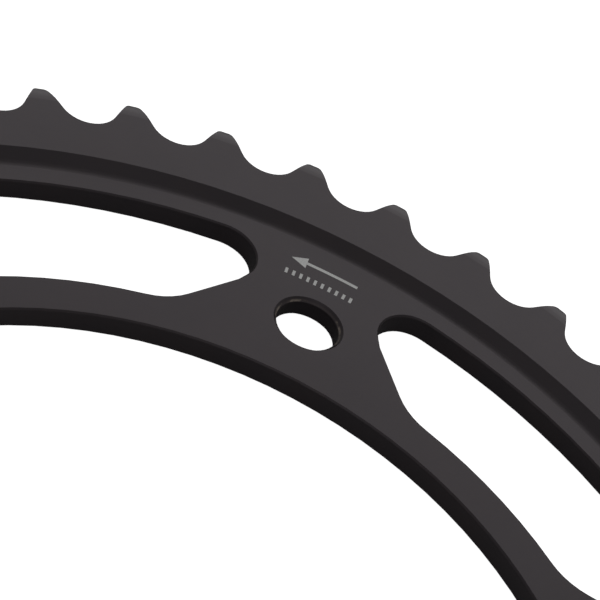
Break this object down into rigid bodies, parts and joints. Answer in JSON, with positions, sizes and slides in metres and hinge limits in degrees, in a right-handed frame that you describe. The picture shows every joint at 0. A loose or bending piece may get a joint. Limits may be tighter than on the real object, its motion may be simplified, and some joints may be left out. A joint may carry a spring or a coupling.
{
  "type": "rear sprocket",
  "caption": "Flat one-piece rear sprocket for a roller chain: toothed ring, thinner recessed web with lightening slots, large centre bore and a circle of bolt holes on the spokes.",
  "frame": {"origin": "centre of the bore on the mid-plane of the teeth, which is the chain line", "axes": "+Z along the sprocket's axis, out of the marked face; +X through a bolt hole that lines up with the middle of a tooth"},
  "size_m": [0.2371, 0.2366, 0.006],
  "materials": {
    "anodised_aluminium": "hard-anodised black, fine satin grain",
    "mark": "matte pale etching"
  },
  "bodies": {
    "root": {"sprocket_plate": "anodised_aluminium", "etched_mark": "mark"}
  },
  "joints": []
}
